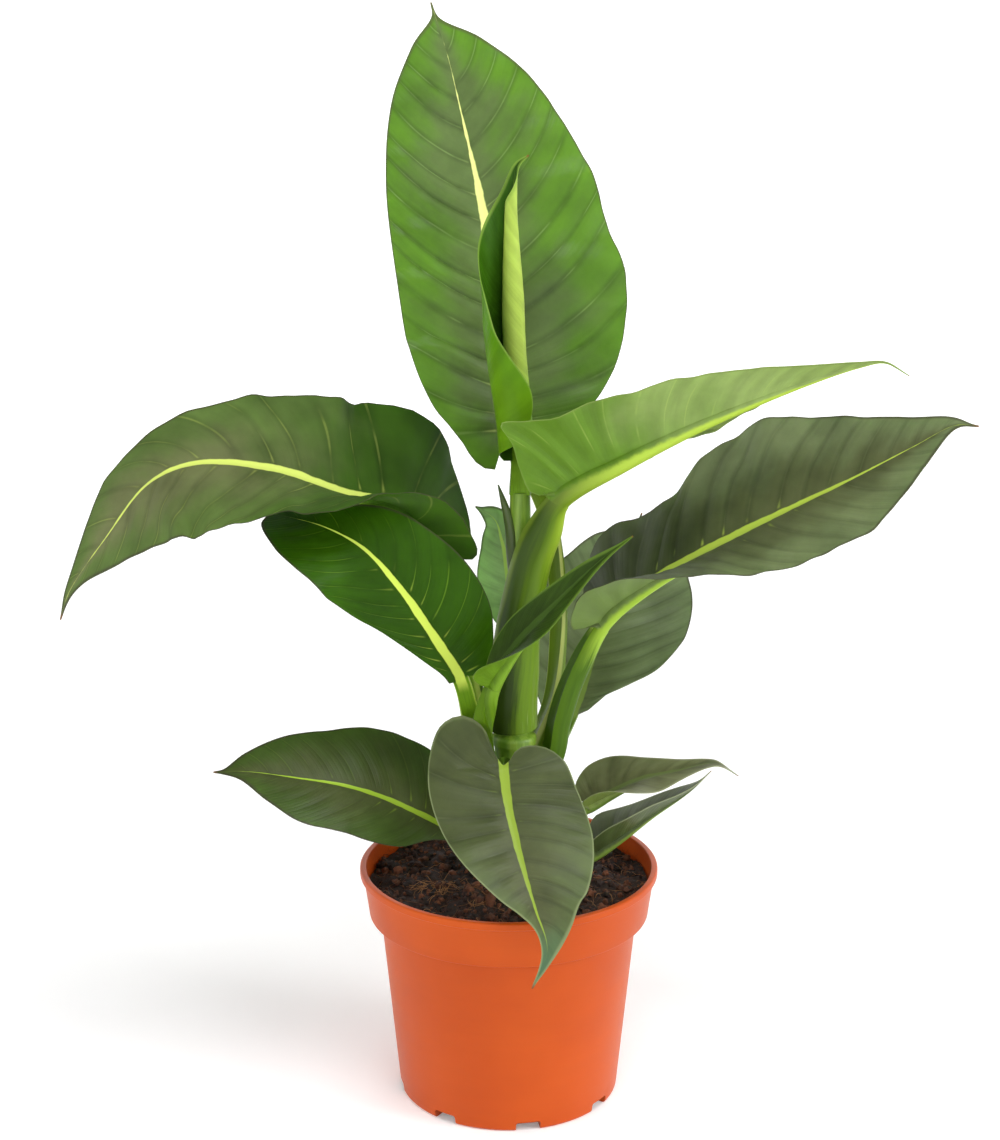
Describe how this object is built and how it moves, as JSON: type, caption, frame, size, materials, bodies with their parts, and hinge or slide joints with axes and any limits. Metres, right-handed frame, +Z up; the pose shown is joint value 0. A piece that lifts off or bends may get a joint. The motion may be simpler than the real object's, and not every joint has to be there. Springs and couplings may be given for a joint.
{
  "type": "potted dieffenbachia",
  "caption": "Bushy green leafy houseplant with broad drooping pointed leaves on arching stalks, standing in a tapered terracotta-coloured plastic nursery pot with soil.",
  "frame": {"origin": "centre of the pot's flat base, on the surface it stands on", "axes": "+Z up along the pot's axis, -Y towards the front of the plant, +X to its right seen from the front"},
  "size_m": [0.4907, 0.2499, 0.6122],
  "materials": {
    "pot_plastic": "satin injection-moulded plastic",
    "soil": "damp dark peat and coir",
    "stem": "smooth fresh plant skin",
    "leaf_young": "satin leaf surface with a pale yellow midrib",
    "leaf_old": "dull grey-green leaf surface with raised side veins"
  },
  "bodies": {
    "root": {"pot": "pot_plastic", "soil": "soil", "stem": "stem", "leaf_crown": "leaf_young", "leaf_new": "leaf_young", "leaf_right_upper": "leaf_young", "leaf_right_big": "leaf_old", "leaf_left_big": "leaf_old", "leaf_left_lower": "leaf_young", "leaf_small_front": "leaf_young", "leaf_front": "leaf_old", "leaf_left_foot": "leaf_old", "leaf_right_foot": "leaf_old", "leaf_right_low": "leaf_old", "leaf_right_back": "leaf_old", "leaf_left_back": "leaf_old"}
  },
  "joints": []
}
